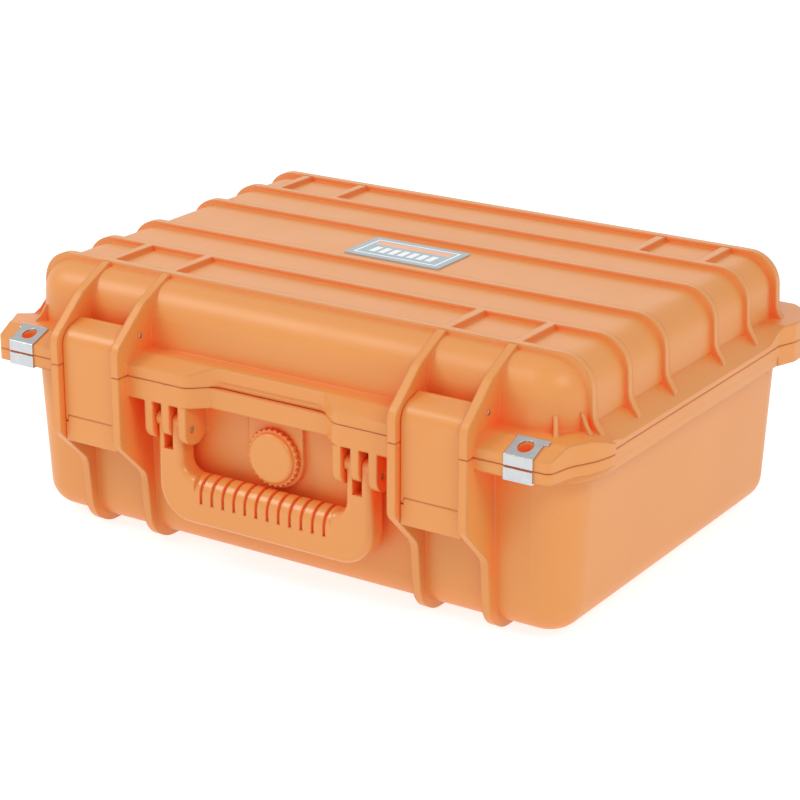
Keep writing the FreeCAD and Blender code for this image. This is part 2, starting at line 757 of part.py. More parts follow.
def latch_lever():
    """The lower plate of a latch, which fingers pull: a barrel on the lever pin, and two claws behind."""
    body = new_body("latch_lever_right")
    lever_axis = "latch_front + lever_barrel"
    back = "latch_front + latch_thick"
    plate = [
        ("latch_front", "lever_z"),
        ("latch_front", "lever_foot", "1"),
        (back + " + 1.5", "lever_foot", "1"),
        (back, "lever_foot + 5"),
        (back, "lever_z"),
    ]
    pad(body, X, *across_latch("latch_width / 2"), plate)
    inner = across_latch("lever_knuckle / 2")
    pad(body, X, *inner, (lever_axis, "lever_z", "lever_barrel"))
    outer = across_latch("(latch_width / 2 + 1)")
    relief = (lever_axis, "lever_z", "lever_barrel + latch_relief")
    pocket(body, X, outer[0], inner[0], relief)
    pocket(body, X, inner[1], outer[1], relief)
    claw = [
        (lever_axis + " + 1", "lever_z - 2"),
        ("-152", "lever_z + 2"),
        ("-150.6", "lever_z + 9", "1"),
        ("-153.5", "lever_z + 9", "1"),
        (lever_axis + " + 1.6", "lever_z + 2"),
    ]
    for side in "-+":
        middle = f"latch_x {side} 10"
        pad(body, X, f"{middle} - 2", f"{middle} + 2", claw)
    pocket(body, X, *inner, (lever_axis, "lever_z", "lever_pin_r + running"))
    return body


# ---- handle ----


def handle():
    """The carry handle: a U with forked arms and a ringed grip."""
    body = new_body("handle")
    arch = [
        ("-handle_half", "handle_top"),
        ("-handle_half", "handle_foot", "23"),
        ("handle_half", "handle_foot", "23"),
        ("handle_half", "handle_top"),
        ("handle_inner", "handle_top"),
        ("handle_inner", "grip_top", "9"),
        ("-handle_inner", "grip_top", "9"),
        ("-handle_inner", "handle_top"),
    ]
    pad(body, Y, "handle_front", "handle_back", arch)
    front, back, top = value("handle_front"), value("handle_back"), value("handle_top")
    fillet(body, "handle_edge", lambda p: min(abs(p.y - front), abs(p.y - back)) < 0.01 and p.z < top - 0.01)
    slope = [
        ("handle_y + 5.5", "handle_z + 5"),
        ("handle_y + 5.5", "handle_z - 3", "6"),
        ("handle_back + 1", "handle_z - 20"),
        ("handle_back + 1", "handle_z + 5"),
    ]
    pocket(body, X, "-handle_half - 1", "handle_half + 1", slope)
    cheek = "lug_pitch / 2 - lug_thick / 2 - gap"
    for side in ("-1", "1"):
        middle = f"({side}) * lug_x"
        half = "(lug_thick / 2 + gap)"
        slot = rectangle(f"{middle} - {half}", f"{middle} + {half}", "handle_z - 14.4", "handle_top + 1")
        pocket(body, Y, "handle_front - 1", "handle_back + 1", slot)
        for offset in ("-0.5", "0.5"):
            prong = f"{middle} + ({offset}) * lug_pitch"
            end = ("handle_front + prong_r", "handle_top", "prong_r")
            pad(body, X, f"{prong} - ({cheek})", f"{prong} + ({cheek})", end)
    pocket(body, X, "-handle_half - 1", "handle_half + 1", ("handle_y", "handle_z", "handle_pin_r + running"))
    hollow_hand = [
        ("handle_front - 1", "grip_low"),
        ("handle_front", "grip_low"),
        ("handle_front", "grip_top", "grip_round"),
        ("handle_back", "grip_top"),
        ("handle_back", "grip_top + 1"),
        ("handle_front - 1", "grip_top + 1"),
    ]
    pocket(body, X, "-grip_half", "grip_half", hollow_hand)
    for number in range(12):
        middle = f"({number} - 5.5) * grip_pitch"
        for side in "-+":
            pocket(body, X, middle, f"{middle} {side} groove", ring_groove(), "45")
    return body


def ring_groove():
    """The bottom of a groove between two rings of the grip: over the top and part way down both faces."""
    return [
        ("handle_front - 2", "grip_low"),
        ("handle_front - 2", "grip_top + 2"),
        ("handle_back + 2", "grip_top + 2"),
        ("handle_back + 2", "grip_low"),
        ("handle_back - groove", "grip_low"),
        ("handle_back - groove", "grip_top - groove", "handle_edge - groove"),
        ("handle_front + groove", "grip_top - groove", "grip_round - groove"),
        ("handle_front + groove", "grip_low"),
    ]


# ---- purge valve ----


def valve_knob():
    """The toothed knob and its stem."""
    body = new_body("valve_knob")
    pad(body, Y, "knob_back", "knob_back - knob_ring", ("0", "valve_z", "knob_r"))
    pad(body, Y, "knob_back - knob_ring", "knob_front", ("0", "valve_z", "knob_face_r"))
    pad(body, Y, "knob_back", "knob_back + 9", ("0", "valve_z", "knob_stem_r - running"))
    front = value("knob_front")
    fillet(body, "knob_ring - 0.5", lambda p: abs(p.y - front) < 0.01)
    hollow_tooth = ("0", "valve_z + knob_r + 0.4", "knob_teeth_r")
    tooth = pocket(body, Y, "knob_back", "knob_back - knob_ring", hollow_tooth)
    teeth = body.newObject("PartDesign::PolarPattern", "teeth")
    teeth.Originals = [tooth]
    teeth.Axis = (valve_axis(body), ["N_Axis"])
    teeth.Angle = 360
    teeth.Occurrences = 28
    body.Tip = teeth
    doc.recompute()
    return body


def valve_axis(body):
    """A sketch centred on the valve, whose normal is the axis that the knob's teeth repeat about."""
    sketch = new_sketch(body, Y, "knob_back")
    bind(sketch, "AttachmentOffset.Base.y", "valve_z")
    doc.recompute()
    return sketch


def valve_body():
    """The flanged bush that the knob's stem turns in."""
    body = new_body("valve_body")
    pad(body, Y, "boss_front + 0.2", "boss_front + 1.9", ("0", "valve_z", "valve_r + 2.2"))
    pad(body, Y, "boss_front + 1.9", "boss_front + 13", ("0", "valve_z", "valve_r"))
    pocket(body, Y, "boss_front", "boss_front + 14", ("0", "valve_z", "knob_stem_r"))
    return body


def valve_oring():
    ring = doc.addObject("Part::Torus", "valve_oring")
    ring.Label = "valve_oring"
    bind(ring, "Radius1", "valve_r + 3.25")
    bind(ring, "Radius2", "0.9")
    ring.Placement = Placement(Vector(0, 0, 0), Rotation(Vector(1, 0, 0), 90))
    bind(ring, "Placement.Base.y", "boss_front + 0.95")
    bind(ring, "Placement.Base.z", "valve_z")
    pieces.append(ring)


def valve_nut():
    """The hexagon nut that holds the valve body from inside."""
    body = new_body("valve_nut")
    point = "(valve_r + 4.5)"
    corners = [(f"{point} * cos({60 * i})", f"valve_z + {point} * sin({60 * i})") for i in range(6)]
    pad(body, Y, "boss_front + 8.1", "boss_front + 12.5", [corners, ("0", "valve_z", "valve_r + running")])
    return body


# ---- plates, gasket, pins and foam ----


def padlock_plates():
    """Bent stainless plates round the holes of the padlock ears: one on the lid's ear, one on the base's."""
    left, right = "plate_x - plate_width / 2", "plate_x + plate_width / 2"
    face = ("ear_front - plate_thick", "ear_front")
    lid_plate = new_body("padlock_plate_lid_right")
    knee = "seam_z + ear_thick + running / 2"
    tab_front = "plate_back - 3.5"
    bent = [
        (face[1], "seam_z + plate_gap * 0.7"),
        (face[1], knee),
        ("plate_back", f"{knee} + {ramp_rise('plate_back')}"),
        ("plate_back", f"{knee} + {ramp_rise('plate_back')} + plate_thick"),
        (face[0], f"{knee} + plate_thick * 0.7", "0.6"),
        (face[0], "seam_z + plate_gap * 0.7"),
    ]
    pad(lid_plate, X, left, right, bent)
    tab = [
        (tab_front, f"{knee} + {ramp_rise(tab_front)}"),
        ("plate_back", f"{knee} + {ramp_rise('plate_back')}"),
        ("plate_back", f"{knee} + {ramp_rise('plate_back')} + plate_thick"),
        (tab_front, f"{knee} + {ramp_rise(tab_front)} + plate_thick"),
    ]
    pad(lid_plate, X, right, f"{right} + 2.5", tab)
    pocket(lid_plate, Z, "seam_z + 20", "seam_z + 1", ("plate_x", "padlock_y", "padlock_r"))
    base_plate = new_body("padlock_plate_base_right")
    high = "seam_z - ear_thick"
    pad(base_plate, Z, high, f"{high} - plate_thick", rectangle(left, right, face[0], "rim_front - gap"))
    flange = rectangle(left, right, f"{high} - plate_thick", "seam_z - plate_gap * 0.3")
    pad(base_plate, Y, face[0], face[1], flange)
    pocket(base_plate, Z, f"{high} - plate_thick", high, ("plate_x", "padlock_y", "padlock_r"))
    left_twin(lid_plate, "padlock_plate_lid_left")
    left_twin(base_plate, "padlock_plate_base_left")


def lid_gasket():
    body = new_body("lid_gasket")
    pad(body, Z, "seam_z", "seam_z + gasket_width", gasket_ring("gasket_width / 2"))


def label_plate():
    body = new_body("label_plate")
    left, right = "label_x - label_half", "label_x + label_half"
    plate = rectangle(left, right, "rib_middle - 19", "rib_middle + 21", "2")
    pad(body, Z, "case_top - rib_proud", "case_top - rib_proud + 0.8", plate)


def foam():
    """The lid's foam, the block foam with one pocket pulled out of it, and the pad under that."""
    lid_foam = new_body("lid_foam")
    lid_block = rectangle("-184", "184", "shell_y - 128", "shell_y + 128", "24")
    pad(lid_foam, Z, "case_top - rib_proud - wall - 1", "seam_z + 24", lid_block)
    top = value("case_top - rib_proud - wall - 1")
    fillet(lid_foam, "14", lambda p: abs(p.z - top) < 0.01)
    block = new_body("pluck_foam")
    pad(block, Z, "28", "seam_z - 4", rectangle("-188", "188", "shell_y - 131", "shell_y + 134", "20"))
    pocket(block, Z, "seam_z - 4", "48", rectangle("-105", "105", "shell_y - 67.5", "shell_y + 67.5"))
    bottom = new_body("base_foam")
    pad(bottom, Z, "8", "27.5", rectangle("-175", "175", "shell_y - 120", "shell_y + 120", "16"))


def pins():
    lever_axis = "latch_front + lever_barrel"
    right = (
        ("hinge_pin", "hinge_x", 26.6, "hinge_y", "seam_z", "hinge_pin_r"),
        ("latch_pin", "latch_x", 26.8, "link_y", "link_z", "latch_pin_r"),
        ("latch_lever_pin", "latch_x", 20, lever_axis, "lever_z", "lever_pin_r"),
        ("handle_pin", "lug_x", 15.2, "handle_y", "handle_z", "handle_pin_r"),
    )
    for name, middle, half, y, z, radius in right:
        rod = pin(name + "_right", f"{middle} - {half}", f"{middle} + {half}", y, z, radius)
        left_twin(rod, name + "_left")


def main():
    base_shell()
    lid_shell()
    left_twin(latch_link(), "latch_link_left")
    left_twin(latch_lever(), "latch_lever_left")
    handle()
    valve_knob()
    valve_body()
    valve_oring()
    valve_nut()
    padlock_plates()
    lid_gasket()
    label_plate()
    foam()
    pins()
    doc.recompute()
    for thing in doc.Objects:
        if "Invalid" in thing.State or "Error" in thing.State:
            raise ValueError(f"{thing.Label} failed: {thing.State}")
    os.makedirs("parts", exist_ok=True)
    for piece in pieces:
        if piece.Shape.isNull() or not piece.Shape.isValid():
            raise ValueError(f"{piece.Label} has no valid shape")
        piece.Shape.exportStep(f"parts/{piece.Label}.step")


main()
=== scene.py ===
"""The looks of the hard equipment case: moulded plastic, steel, rubber, a printed label and foam.

Everything is in metres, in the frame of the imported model: +Z up, the front of the case towards -Y, the origin
on the floor at the middle of the closed case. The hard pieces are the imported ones. The foam is made here.
"""

import bmesh
import bpy
import math
from mathutils import Matrix, Vector, noise


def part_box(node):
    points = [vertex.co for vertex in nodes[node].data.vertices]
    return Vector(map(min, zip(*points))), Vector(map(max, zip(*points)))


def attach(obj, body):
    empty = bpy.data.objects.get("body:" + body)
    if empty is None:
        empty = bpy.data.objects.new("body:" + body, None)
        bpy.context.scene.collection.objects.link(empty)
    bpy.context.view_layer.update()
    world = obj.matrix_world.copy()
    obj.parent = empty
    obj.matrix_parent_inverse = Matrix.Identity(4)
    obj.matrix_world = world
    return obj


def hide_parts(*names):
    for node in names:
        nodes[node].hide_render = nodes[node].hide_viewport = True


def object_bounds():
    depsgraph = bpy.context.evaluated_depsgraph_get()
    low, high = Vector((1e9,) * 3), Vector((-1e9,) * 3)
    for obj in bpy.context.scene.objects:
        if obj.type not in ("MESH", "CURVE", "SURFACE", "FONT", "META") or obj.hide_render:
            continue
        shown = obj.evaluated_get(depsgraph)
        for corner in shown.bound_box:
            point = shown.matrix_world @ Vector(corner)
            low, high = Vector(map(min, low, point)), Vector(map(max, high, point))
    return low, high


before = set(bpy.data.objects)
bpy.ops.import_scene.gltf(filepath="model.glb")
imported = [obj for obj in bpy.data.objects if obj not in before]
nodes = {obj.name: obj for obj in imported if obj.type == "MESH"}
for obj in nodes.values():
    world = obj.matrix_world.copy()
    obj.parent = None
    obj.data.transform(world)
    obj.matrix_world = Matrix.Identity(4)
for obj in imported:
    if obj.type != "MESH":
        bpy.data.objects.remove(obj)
cad_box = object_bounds()

MM = 0.001

# Colours, as linear red, green and blue.
ORANGE = (0.725, 0.285, 0.07)
# Painted shade: the saturated colour painted into the case's recesses.
ORANGE_PAINTED_SHADE = (1.0, 0.16, 0.025)
STEEL = (0.62, 0.64, 0.65)
STEEL_EDGE = (0.86, 0.87, 0.88)
SEAL_BLACK = (0.018, 0.018, 0.02)
SEAL_DUST = (0.045, 0.044, 0.042)
VALVE_BLACK = (0.022, 0.022, 0.025)
FOAM_GREY = (0.036, 0.038, 0.042)
LABEL_GREY = (0.40, 0.48, 0.52)
LABEL_WHITE = (0.86, 0.88, 0.88)
LABEL_BAND = (0.86, 0.44, 0.28)
FLOOR_WHITE = (0.4, 0.4, 0.4)


# ---- node helpers ----


class Surface:
    """A node material under construction, around one Principled shader."""

    def __init__(self, name):
        self.material = bpy.data.materials.new(name)
        self.material.use_nodes = True
        self.tree = self.material.node_tree
        self.shader = self.tree.nodes["Principled BSDF"]
        self.place = self.add("ShaderNodeTexCoord").outputs["Object"]

    def add(self, kind, **settings):
        """Adds a node of this kind with these settings."""
        node = self.tree.nodes.new(kind)
        for key, setting in settings.items():
            setattr(node, key, setting)
        return node

    def link(self, source, target):
        self.tree.links.new(source, target)

    def feed(self, target, value):
        """Gives an input a constant or another node's output."""
        if isinstance(value, bpy.types.NodeSocket):
            self.link(value, target)
        else:
            target.default_value = value

    def axes(self):
        """The place's coordinates, by axis name."""
        split = self.add("ShaderNodeSeparateXYZ")
        self.link(self.place, split.inputs[0])
        return split.outputs

    def math(self, operation, first, second=0.0, clamp=False):
        """One sum on constants or on other nodes' outputs."""
        node = self.add("ShaderNodeMath", operation=operation, use_clamp=clamp)
        self.feed(node.inputs[0], first)
        self.feed(node.inputs[1], second)
        return node.outputs[0]

    def noise(self, size, detail=3, stretch=(1, 1, 1)):
        """Noise from 0 to 1 whose features are about size metres across."""
        mapping = self.add("ShaderNodeMapping")
        mapping.inputs["Scale"].default_value = stretch
        self.link(self.place, mapping.inputs["Vector"])
        texture = self.add("ShaderNodeTexNoise")
        self.link(mapping.outputs["Vector"], texture.inputs["Vector"])
        texture.inputs["Scale"].default_value = 1 / size
        texture.inputs["Detail"].default_value = detail
        return texture.outputs["Fac"]

    def between(self, factor, span):
        """Maps a 0 to 1 factor onto a span, given as its two ends."""
        node = self.add("ShaderNodeMapRange")
        self.feed(node.inputs["Value"], factor)
        node.inputs["To Min"].default_value, node.inputs["To Max"].default_value = span
        return node.outputs["Result"]

    def mix(self, factor, first, second):
        """Mixes two colours."""
        node = self.add("ShaderNodeMix", data_type="RGBA")
        self.feed(node.inputs["Factor"], factor)
        self.feed(node.inputs["A"], first if isinstance(first, bpy.types.NodeSocket) else (*first, 1))
        self.feed(node.inputs["B"], second if isinstance(second, bpy.types.NodeSocket) else (*second, 1))
        return node.outputs["Result"]

    def shade(self, colour, factor):
        """Multiplies a colour by a factor."""
        scaled = self.add("ShaderNodeVectorMath", operation="SCALE")
        self.feed(scaled.inputs[0], colour)
        self.feed(scaled.inputs["Scale"], factor)
        return scaled.outputs["Vector"]

    def rounded(self, radius):
        """A normal that rounds every edge by this radius, and how strongly each point was rounded."""
        steepness = 3.0
        bevel = self.add("ShaderNodeBevel", samples=6)
        bevel.inputs["Radius"].default_value = radius
        true_normal = self.add("ShaderNodeNewGeometry").outputs["Normal"]
        dot = self.add("ShaderNodeVectorMath", operation="DOT_PRODUCT")
        self.link(bevel.outputs["Normal"], dot.inputs[0])
        self.link(true_normal, dot.inputs[1])
        edge = self.math("SUBTRACT", 1.0, dot.outputs["Value"])
        edge = self.math("MULTIPLY", edge, steepness, clamp=True)
        return bevel.outputs["Normal"], edge

    def bump(self, heights, strength, distance, normal=None):
        """A normal that follows a height map, on top of another normal if there is one."""
        node = self.add("ShaderNodeBump")
        node.inputs["Strength"].default_value = strength
        node.inputs["Distance"].default_value = distance
        self.link(heights, node.inputs["Height"])
        if normal is not None:
            self.link(normal, node.inputs["Normal"])
        return node.outputs["Normal"]

    def finish(self, colour, roughness, normal, metallic=0.0):
        """Sets the shader's main inputs and gives the finished material."""
        self.feed(self.shader.inputs["Base Color"], colour)
        self.feed(self.shader.inputs["Roughness"], roughness)
        self.feed(self.shader.inputs["Metallic"], metallic)
        if normal is not None:
            self.link(normal, self.shader.inputs["Normal"])
        return self.material


# ---- materials ----


def painted_shade_amount(surface):
    """How much painted shade a point gets, from 0 to 1, by how far inside a recess it lies; close to the bright
    floor it stays 0.
    """
    reach = 30 * MM
    open_sky = 0.69
    steepness = 2.1
    floor_glow = 45 * MM
    sky = surface.add("ShaderNodeAmbientOcclusion", samples=4)
    sky.inputs["Distance"].default_value = reach
    shut_in = surface.math("SUBTRACT", open_sky, sky.outputs["AO"])
    shut_in = surface.math("MULTIPLY", shut_in, steepness, clamp=True)
    off_floor = surface.math("DIVIDE", surface.axes()["Z"], floor_glow, clamp=True)
    return surface.math("MULTIPLY", shut_in, off_floor)


def moulded_plastic(name, colour, shade_colour, grain, roughness, edge_radius):
    """Spark-textured moulded plastic: faint clouding, a fine grain, and polished edges that are painted paler,
    partly as rubbed wear and partly as a painted highlight.

    Recesses are painted towards the shade colour: a painted shade that stands in for light bouncing inside
    them.
    """
    cloud_size, cloud_shades = 110 * MM, (0.965, 1.035)
    speck_size, speck_shades = 1.1 * MM, (0.98, 1.02)
    smear_size, smear_roughness = 35 * MM, 0.05
    wave_size, wave_height, wave_strength = 20 * MM, 0.6 * MM, 0.12
    grain_height, grain_strength = 0.12 * MM, 0.22
    edge_paleness = 0.3
    edge_polish = 0.08
    paler = 1.08
    greyer = 0.02
    surface = Surface(name)
    normal, edge = surface.rounded(edge_radius)
    clouds = surface.between(surface.noise(cloud_size, detail=4), cloud_shades)
    specks = surface.between(surface.noise(speck_size, detail=2), speck_shades)
    # Painted shade: recesses are mixed towards the shade colour by how shut in they are.
    shaded_tint = surface.mix(painted_shade_amount(surface), colour, shade_colour)
    body = surface.shade(shaded_tint, surface.math("MULTIPLY", clouds, specks))
    pale = tuple(min(1.0, paler * channel + greyer) for channel in colour)
    # Every edge is painted paler: partly rubbed wear, partly a painted highlight along the edges.
    wear_and_edge_highlight = surface.mix(surface.math("MULTIPLY", edge, edge_paleness), body, pale)
    smears = surface.noise(smear_size, detail=5)
    rough = surface.between(smears, (roughness - smear_roughness, roughness + smear_roughness))
    rough = surface.math("SUBTRACT", rough, surface.math("MULTIPLY", edge, edge_polish))
    waves = surface.noise(wave_size, detail=2)
    grains = surface.noise(grain, detail=2)
    wavy = surface.bump(waves, wave_strength, wave_height, normal)
    return surface.finish(wear_and_edge_highlight, rough, surface.bump(grains, grain_strength, grain_height, wavy))


def brushed_steel(name, roughness, edge_radius):
    """Stainless steel with brush lines along the case's width."""
    line_width, line_shades = 0.4 * MM, (0.9, 1.08)
    line_height, line_strength = 0.05 * MM, 0.15
    lengthened = (0.04, 1, 1)
    smoother = 0.07
    rougher = 0.09
    stain_size, stain_shades = 6 * MM, (0.82, 1.05)
    edge_brightness = 0.5
    surface = Surface(name)
    normal, edge = surface.rounded(edge_radius)
    lines = surface.noise(line_width, detail=4, stretch=lengthened)
    stains = surface.between(surface.noise(stain_size), stain_shades)
    shades = surface.math("MULTIPLY", stains, surface.between(lines, line_shades))
    colour = surface.shade(STEEL, shades)
    bright = surface.mix(surface.math("MULTIPLY", edge, edge_brightness), colour, STEEL_EDGE)
    rough = surface.between(lines, (roughness - smoother, roughness + rougher))
    brushed = surface.bump(lines, line_strength, line_height, normal)
    return surface.finish(bright, rough, brushed, metallic=1.0)


def black_rubber(name):
    """Soft sealing rubber: matt, slightly dusty, with a fine skin."""
    dust_size, dust_cover, dust_roughness = 12 * MM, (0.0, 0.5), (0.62, 0.85)
    skin_size, skin_height, skin_strength = 0.8 * MM, 0.1 * MM, 0.3
    edge_radius = 0.4 * MM
    surface = Surface(name)
    normal, _ = surface.rounded(edge_radius)
    dust = surface.noise(dust_size, detail=5)
    colour = surface.mix(surface.between(dust, dust_cover), SEAL_BLACK, SEAL_DUST)
    rough = surface.between(dust, dust_roughness)
    skin = surface.noise(skin_size, detail=2)
    surface.shader.inputs["Sheen Weight"].default_value = 0.15
    return surface.finish(colour, rough, surface.bump(skin, skin_strength, skin_height, normal))


def foam_skin(name):
    """Open-celled foam: a lighter net of cell walls, with painted shade darkening the pits between them."""
    cell_size, cell_shades = 1.6 * MM, (1.25, 0.35)
    cloud_size, cloud_shades = 50 * MM, (0.85, 1.15)
    pit_depth, pit_strength = 0.5 * MM, 0.55
    roughness = 0.95
    surface = Surface(name)
    cells = surface.add("ShaderNodeTexVoronoi", feature="DISTANCE_TO_EDGE")
    cells.inputs["Scale"].default_value = 1 / cell_size
    surface.link(surface.place, cells.inputs["Vector"])
    # Painted shade: the pits between the cell walls are darkened.
    painted_pit_shade = surface.between(cells.outputs["Distance"], cell_shades)
    clouds = surface.between(surface.noise(cloud_size), cloud_shades)
    colour = surface.shade(FOAM_GREY, surface.math("MULTIPLY", painted_pit_shade, clouds))
    pits = surface.bump(cells.outputs["Distance"], pit_strength, pit_depth)
    surface.shader.inputs["Sheen Weight"].default_value = 0.35
    surface.shader.inputs["Sheen Roughness"].default_value = 0.6
    return surface.finish(colour, roughness, pits)


def printed_label(name, node):
    """A grey label with a white frame line, a pale orange band and plain white bars; it carries no words."""
    line_outer = 4.6 * MM
    line_inner = 6.0 * MM
    field_margin = 7.6 * MM
    band_start = 5.5 * MM
    cloud_size, cloud_shades = 10 * MM, (0.94, 1.06)
    smear_size, smear_roughness = 4 * MM, (0.5, 0.62)
    edge_radius = 0.3 * MM
    low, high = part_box(node)
    middle = (low + high) / 2
    half = (high - low) / 2
    surface = Surface(name)
    place = surface.axes()
    across = surface.math("ABSOLUTE", surface.math("SUBTRACT", place["X"], middle.x))
    along = surface.math("SUBTRACT", place["Y"], middle.y)
    from_side = surface.math("SUBTRACT", half.x, across)
    from_end = surface.math("SUBTRACT", half.y, surface.math("ABSOLUTE", along))
    from_edge = surface.math("MINIMUM", from_side, from_end)
    past_line = surface.math("GREATER_THAN", from_edge, line_inner)
    line = surface.math("SUBTRACT", surface.math("GREATER_THAN", from_edge, line_outer), past_line)
    field = surface.math("GREATER_THAN", from_edge, field_margin)
    band = surface.math("MULTIPLY", field, surface.math("GREATER_THAN", along, band_start))
    colour = surface.mix(line, LABEL_GREY, LABEL_WHITE)
    colour = surface.mix(band, colour, LABEL_BAND)
    colour = surface.mix(label_bars(surface, across, along), colour, LABEL_WHITE)
    clouds = surface.between(surface.noise(cloud_size), cloud_shades)
    normal, _ = surface.rounded(edge_radius)
    rough = surface.between(surface.noise(smear_size, detail=4), smear_roughness)
    surface.shader.inputs["Specular IOR Level"].default_value = 0.3
    return surface.finish(surface.shade(colour, clouds), rough, normal)


def label_bars(surface, across, along):
    """A row of plain bars on the label, in place of print: 1 on a bar, 0 elsewhere."""
    bars = 7
    pitch = 7 * MM
    bar_share = 0.64
    row_half_width = bars / 2 * pitch
    row_middle = -4 * MM
    row_half_height = 5.5 * MM
    step = surface.math("FRACT", surface.math("DIVIDE", surface.math("ADD", across, pitch / 2), pitch))
    from_middle = surface.math("ABSOLUTE", surface.math("SUBTRACT", step, 0.5))
    bar = surface.math("LESS_THAN", from_middle, bar_share / 2)
    inside = surface.math("LESS_THAN", across, row_half_width)
    from_row = surface.math("ABSOLUTE", surface.math("SUBTRACT", along, row_middle))
    in_row = surface.math("LESS_THAN", from_row, row_half_height)
    return surface.math("MULTIPLY", bar, surface.math("MULTIPLY", inside, in_row))


def floor_paint():
    """Matt white studio floor, lit from below as on a light table, with a very faint mottle."""
    mottle_size, mottle_shades = 400 * MM, (0.985, 1.0)
    glow = 0.78
    roughness = 0.9
    surface = Surface("studio_floor")
    mottle = surface.between(surface.noise(mottle_size), mottle_shades)
    surface.shader.inputs["Emission Color"].default_value = (1, 1, 1, 1)
    surface.shader.inputs["Emission Strength"].default_value = glow
    surface.shader.inputs["Specular IOR Level"].default_value = 0.1
    return surface.finish(surface.shade(FLOOR_WHITE, mottle), roughness, None)


# ---- CAD pieces ----


def dress(piece, material):
    """Gives a piece its one material."""
    piece.data.materials.clear()
    piece.data.materials.append(material)


def case_plastic(name, grain, roughness, edge_radius):
    """The case's orange plastic, in one of its finishes."""
    return moulded_plastic(name, ORANGE, ORANGE_PAINTED_SHADE, grain, roughness, edge_radius)


def dress_cad():
    """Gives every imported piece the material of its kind."""
    shell = case_plastic("case_plastic", grain=0.9 * MM, roughness=0.40, edge_radius=2.0 * MM)
    small = case_plastic("fitting_plastic", grain=0.7 * MM, roughness=0.32, edge_radius=1.0 * MM)
    grip = case_plastic("handle_plastic", grain=0.7 * MM, roughness=0.24, edge_radius=1.0 * MM)
    valve = moulded_plastic("valve_plastic", VALVE_BLACK, VALVE_BLACK, 0.6 * MM, 0.40, 0.4 * MM)
    plate = brushed_steel("plate_steel", roughness=0.24, edge_radius=0.3 * MM)
    pin = brushed_steel("pin_steel", roughness=0.22, edge_radius=1.2 * MM)
    rubber = black_rubber("seal_rubber")
    label = printed_label("label_print", "label_plate")
    looks = {
        "base_shell": shell,
        "lid_shell": shell,
        "handle": grip,
        "valve_knob": small,
        "latch_link": small,
        "latch_lever": small,
        "padlock_plate": plate,
        "hinge_pin": pin,
        "handle_pin": pin,
        "latch_pin": pin,
        "latch_lever_pin": pin,
        "lid_gasket": rubber,
        "valve_oring": rubber,
        "valve_body": valve,
        "valve_nut": valve,
        "label_plate": label,
    }
    for name, piece in nodes.items():
        # The longest start of a name decides. The foam has none, because other meshes stand for it.
        matches = [start for start in looks if name.startswith(start)]
        if matches:
            dress(piece, looks[max(matches, key=len)])


# ---- foam ----


def rolled(depth, radius):
    """How far a surface has dropped at this depth inside an edge of this radius."""
    if depth >= radius:
        return 0.0
    return radius - math.sqrt(max(0.0, radius**2 - (radius - depth) ** 2))


def even_lines(low, high, step):
    """Grid lines from low to high, about step apart."""
    count = round((high - low) / step)
    return [low + (high - low) * i / count for i in range(count + 1)]


def ring_around(rows):
    """The outermost vertices of a grid of rows, in order around it."""
    right = [row[-1] for row in rows[1:]]
    left = [row[0] for row in rows[-2:0:-1]]
    return rows[0] + right + rows[-1][-2::-1] + left


class Foam:
    """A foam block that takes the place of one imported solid: a box with rounded corners in plan."""

    def __init__(self, node, corner):
        self.node = node
        self.corner = corner
        self.low, self.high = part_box(node)

    def corner_centre(self, x, y):
        """The nearest place to a plan point that is a corner's radius inside the box."""
        inner_x = min(max(x, self.low.x + self.corner), self.high.x - self.corner)
        inner_y = min(max(y, self.low.y + self.corner), self.high.y - self.corner)
        return Vector((inner_x, inner_y))

    def pulled_in(self, x, y):
        """A plan point, moved in to the rounded corner if it lies outside it."""
        centre = self.corner_centre(x, y)
        offset = Vector((x, y)) - centre
        if offset.length > self.corner:
            offset *= self.corner / offset.length
        return centre + offset

    def edge_drop(self, place, radius):
        """How far the surface drops at this place, if the block's edge is rounded by this radius."""
        depth = self.corner - (place - self.corner_centre(place.x, place.y)).length
        return rolled(depth, radius)

    def layer(self, mesh, xs, ys, height):
        """One surface of the block over grid lines xs and ys, as rows of vertices."""
        rows = []
        for y in ys:
            places = [(x, self.pulled_in(x, y)) for x in xs]
            rows.append([mesh.verts.new((place.x, place.y, height(x, y, place))) for x, place in places])
        return rows

    def build(self, name, body, xs, ys, heights, material):
        """Makes the closed block over grid lines xs and ys, from its bottom and top height at each point."""
        mesh = bmesh.new()
        under, over = [self.layer(mesh, xs, ys, height) for height in heights]
        for j in range(len(ys) - 1):
            for i in range(len(xs) - 1):
                mesh.faces.new((under[j][i], under[j + 1][i], under[j + 1][i + 1], under[j][i + 1]))
                mesh.faces.new((over[j][i], over[j][i + 1], over[j + 1][i + 1], over[j + 1][i]))
        lower, upper = ring_around(under), ring_around(over)
        for i in range(len(lower)):
            j = (i + 1) % len(lower)
            mesh.faces.new((lower[i], lower[j], upper[j], upper[i]))
        data = bpy.data.meshes.new(name)
        mesh.to_mesh(data)
        mesh.free()
        for face in data.polygons:
            face.use_smooth = True
        block = bpy.data.objects.new(name, data)
        bpy.context.scene.collection.objects.link(block)
        dress(block, material)
        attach(block, body)
        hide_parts(self.node)


